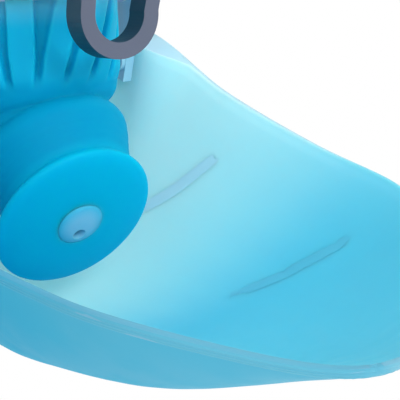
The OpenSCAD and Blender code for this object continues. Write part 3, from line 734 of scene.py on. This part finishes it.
def make_collar():
    """Screw collar with fine grip flutes, a bevelled shoulder and the two hinge bosses."""
    base, top, r, bore = 147.5, 164.5, 27.5, 18.7
    profile = [(bore, base), (r - 0.9, base), (r - 0.25, base + 0.25), (r, base + 0.9), (r, base + 2.2)]
    flutes = [base + 2.6 + 9.6 * k / 10 for k in range(11)]
    profile += [(r, z) for z in flutes]
    profile += [(r, base + 12.6), (r, top - 2.4), (r - 0.2, top - 2.0), (r - 2.0, top - 0.2), (r - 2.3, top),
                (PLUG_R + 0.2, top), (PLUG_R, top + 0.2), (PLUG_R, top + PLUG_H), (4.9, top + PLUG_H),
                (4.9, 161.6), (bore, 161.6)]
    flute_count, flute_deep = 68, 0.55
    n = flute_count * 8
    rows = []
    for radius, z in profile:
        depth = flute_deep * smooth(flutes[0] - 0.1, flutes[1], z) * smooth(flutes[-1] + 0.1, flutes[-2], z)
        depth = depth if radius == r else 0.0
        row = []
        for t in (2 * math.pi * j / n for j in range(n)):
            grip = radius - depth * (0.5 - 0.5 * math.cos(flute_count * t)) ** 1.5
            row.append((grip * math.cos(t), grip * math.sin(t), z))
        rows.append(row)
    ring = piece_from("ring_form", *loft(rows, close_rows=True), None, COLLAR_PLASTIC, None, 0)
    mesh = carved(ring.data, [side_pin(side, BOSS_R, 17.5, 28.7) for side in (1, -1)], "UNION")
    mesh = carved(mesh, [side_pin(side, 2.9, 22.7, 30) for side in (1, -1)])
    bpy.data.objects.remove(ring)
    piece = dress("grip_collar", mesh, "head", COLLAR_PLASTIC, 35)
    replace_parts(piece, "screw_collar")


def evaluated(obj):
    graph = bpy.context.evaluated_depsgraph_get()
    return bpy.data.meshes.new_from_object(obj.evaluated_get(graph))


make_veins(make_bowl())
make_head()
make_nozzle()
make_collar()

# ---------- finishes of the carried-over parts ----------

FINISH = {
    "bottle_body": BOTTLE_PLASTIC, "neck_gasket": WHITE_SILICONE,
    "insert_left": BRASS, "insert_right": BRASS, "water_tube": WHITE_SILICONE,
    "slit_valve": WHITE_SILICONE, "valve_retainer": WHITE_SILICONE,
    "ear_left": EAR_PLASTIC, "ear_right": EAR_PLASTIC,
    "rivets_left": RIVET_PAINT, "rivets_right": RIVET_PAINT,
    "washer_left": WHITE_SILICONE, "washer_right": WHITE_SILICONE,
    "hinge_screw_left": STEEL, "hinge_screw_right": STEEL, "carry_band": BAND_PLASTIC,
    "band_screw": STEEL, "carabiner_frame": CLIP_PLASTIC, "carabiner_gate": CLIP_PLASTIC,
    "gate_pin": STEEL, "gate_spring": STEEL,
}
for node_name, finish in FINISH.items():
    node_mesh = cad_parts[node_name].data
    node_mesh.materials.clear()
    node_mesh.materials.append(finish)
    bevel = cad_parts[node_name].modifiers.new("soft_edges", "BEVEL")
    bevel.width = (0.7 if finish is CLIP_PLASTIC else 0.2) * MM
    bevel.segments = 3
    bevel.limit_method = "ANGLE"
    bevel.angle_limit = math.radians(50)
    bevel.harden_normals = False

# ---------- floor, light and camera ----------

floor_mesh = bpy.data.meshes.new("studio_floor")
floor_mesh.from_pydata([(-3, -3, 0), (3, -3, 0), (3, 3, 0), (-3, 3, 0)], [], [(0, 1, 2, 3)])
floor = bpy.data.objects.new("studio_floor", floor_mesh)
bpy.context.scene.collection.objects.link(floor)
floor_mesh.materials.append(FLOOR_PAPER)

world = bpy.data.worlds.new("studio_world")
bpy.context.scene.world = world
world.use_nodes = True
sky = world.node_tree
sky.nodes.clear()
ray = sky.nodes.new("ShaderNodeLightPath")
seen = maths(sky, "MAXIMUM", ray.outputs["Is Camera Ray"], ray.outputs["Is Glossy Ray"])
seen = maths(sky, "MAXIMUM", seen, ray.outputs["Is Transmission Ray"])
ambient = sky.nodes.new("ShaderNodeBackground")
ambient.inputs["Color"].default_value = (1, 1, 1, 1)
ambient.inputs["Strength"].default_value = 0.85
backdrop = sky.nodes.new("ShaderNodeBackground")
backdrop.inputs["Color"].default_value = (1, 1, 1, 1)
backdrop.inputs["Strength"].default_value = 1.0
pick = sky.nodes.new("ShaderNodeMixShader")
out = sky.nodes.new("ShaderNodeOutputWorld")
sky.links.new(seen, pick.inputs[0])
sky.links.new(ambient.outputs[0], pick.inputs[1])
sky.links.new(backdrop.outputs[0], pick.inputs[2])
sky.links.new(pick.outputs[0], out.inputs["Surface"])


def soft_lamp(name, at, aim, size, power, spread=math.pi):
    lamp = bpy.data.lights.new(name, "AREA")
    lamp.shape = "DISK"
    lamp.size = size
    lamp.energy = power
    lamp.spread = spread
    obj = bpy.data.objects.new(name, lamp)
    bpy.context.scene.collection.objects.link(obj)
    obj.location = at
    obj.rotation_euler = (Vector(aim) - Vector(at)).to_track_quat("-Z", "Y").to_euler()
    obj.visible_camera = False
    return obj


CENTRE = (0.03, 0.0, 0.18)
soft_lamp("lamp_overhead", (0.8, -0.3, 1.2), CENTRE, 1.2, 2.7)
soft_lamp("lamp_low", (0.5, 0.2, 0.10), CENTRE, 0.3, 0.028, math.radians(30))
soft_lamp("lamp_floor", (0.36, -0.02, 0.03), (0.02, -0.03, 0.19), 0.15, 0.05, math.radians(40))

# view direction and roll: the object is seen upside down, from just below its hinge
RIGHT = Vector((0.530, -0.845, 0.044))
TOWARD = Vector((0.840, 0.518, -0.152)).normalized()
RIGHT = (RIGHT - TOWARD * RIGHT.dot(TOWARD)).normalized()
UP = TOWARD.cross(RIGHT)
LOOK_AT = Vector((0.0303, -0.0325, 0.2211))
CAM_DISTANCE = 1.3
FRAME_WIDTH = 0.1053
camera_data = bpy.data.cameras.new("main_camera")
camera_data.sensor_width = 36
camera_data.lens = 36 * CAM_DISTANCE / FRAME_WIDTH
camera_data.clip_start = 0.05
camera = bpy.data.objects.new("main_camera", camera_data)
bpy.context.scene.collection.objects.link(camera)
turn = Matrix((RIGHT, UP, TOWARD)).transposed().to_4x4()
camera.matrix_world = Matrix.Translation(LOOK_AT + TOWARD * CAM_DISTANCE) @ turn
bpy.context.scene.camera = camera
bpy.context.scene.view_settings.view_transform = "Standard"
